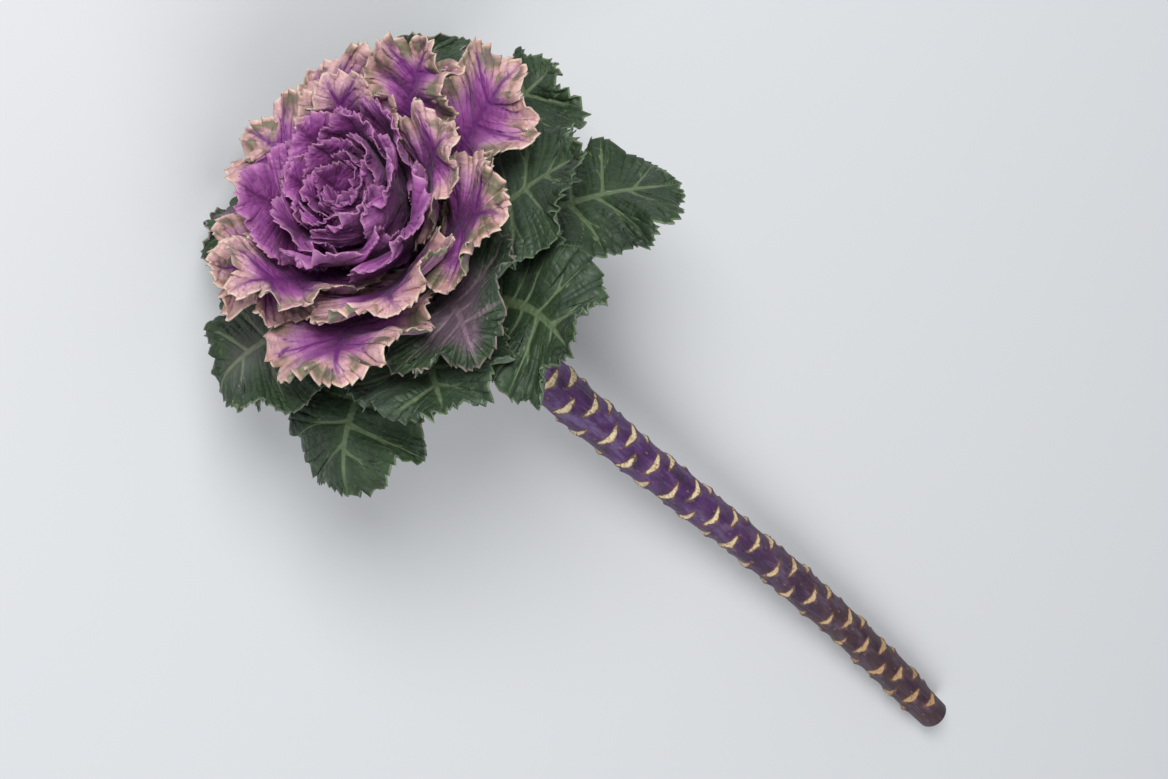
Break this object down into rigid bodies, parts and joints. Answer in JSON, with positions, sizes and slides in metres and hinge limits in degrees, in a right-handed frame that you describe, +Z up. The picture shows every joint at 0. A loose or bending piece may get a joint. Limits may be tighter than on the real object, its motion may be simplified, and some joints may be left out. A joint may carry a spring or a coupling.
{
  "type": "ornamental kale",
  "caption": "Cut stem of ornamental kale lying on its side: a ruffled purple rosette over toothed green leaves, on a long bare stalk marked with leaf scars.",
  "frame": {"origin": "on the surface that the stem lies on, below the middle of its box", "axes": "+Y along the stalk from the head to the cut end, +Z up, +X to the right as seen facing the head's rosette from its front"},
  "size_m": [0.1811, 0.4763, 0.1435],
  "materials": {
    "stem": "satin purple skin with pale matt leaf scars",
    "heart": "satin",
    "purple_leaf": "satin, with pale margins and dark veins",
    "green_leaf": "satin with a waxy bloom below"
  },
  "bodies": {
    "root": {"stem": "stem", "heart": "heart", "purple_leaf_01": "purple_leaf", "purple_leaf_02": "purple_leaf", "purple_leaf_03": "purple_leaf", "purple_leaf_04": "purple_leaf", "purple_leaf_05": "purple_leaf", "purple_leaf_06": "purple_leaf", "purple_leaf_07": "purple_leaf", "purple_leaf_08": "purple_leaf", "purple_leaf_09": "purple_leaf", "purple_leaf_10": "purple_leaf", "purple_leaf_11": "purple_leaf", "green_leaf_01": "green_leaf", "green_leaf_02": "green_leaf", "green_leaf_03": "green_leaf", "green_leaf_04": "green_leaf", "green_leaf_05": "green_leaf", "green_leaf_06": "green_leaf", "green_leaf_07": "green_leaf", "green_leaf_08": "green_leaf", "green_leaf_09": "green_leaf", "green_leaf_10": "green_leaf", "green_leaf_11": "green_leaf", "green_leaf_12": "green_leaf", "green_leaf_13": "green_leaf"}
  },
  "joints": []
}
